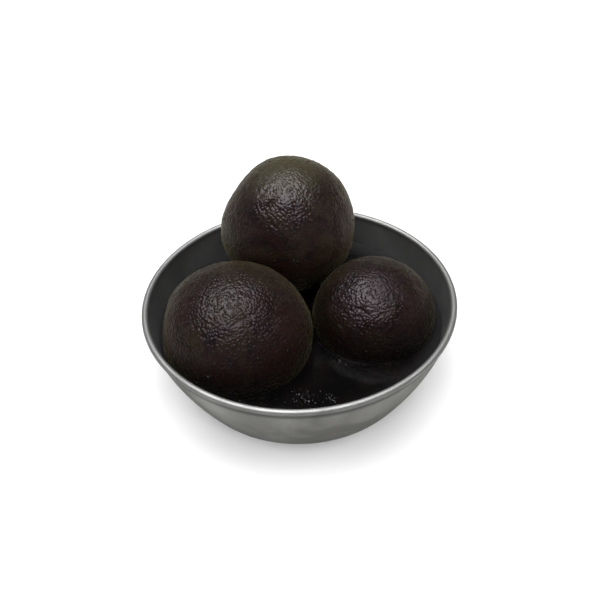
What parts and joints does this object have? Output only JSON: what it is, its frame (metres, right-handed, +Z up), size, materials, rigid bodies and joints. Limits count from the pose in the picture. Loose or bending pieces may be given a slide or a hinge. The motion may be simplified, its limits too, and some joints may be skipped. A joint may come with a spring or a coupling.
{
  "type": "gulab jamun in a steel bowl",
  "caption": "Dark glossy fried milk-solid dumplings soaked in sugar syrup, served in a round flared steel bowl with a rolled rim.",
  "frame": {"origin": "centre of the bowl's flat base, on the surface that the bowl stands on", "axes": "+Z up out of the bowl, +Y to the back of the serving where the third dumpling leans on the rim, +X to its right"},
  "size_m": [0.096, 0.096, 0.0585],
  "materials": {
    "steel": "dull stainless steel, fine brushed lines round the axis, light handling scratches and smudges",
    "syrup": "thick dark brown sugar syrup, wet and mirror smooth, with a few small bubbles",
    "fried_skin": "dark fried skin, pitted and finely wrinkled, glazed with a thin film of syrup"
  },
  "bodies": {
    "root": {"bowl": "steel", "syrup": "syrup", "jamun_left": "fried_skin", "jamun_right": "fried_skin", "jamun_top": "fried_skin"}
  },
  "joints": []
}
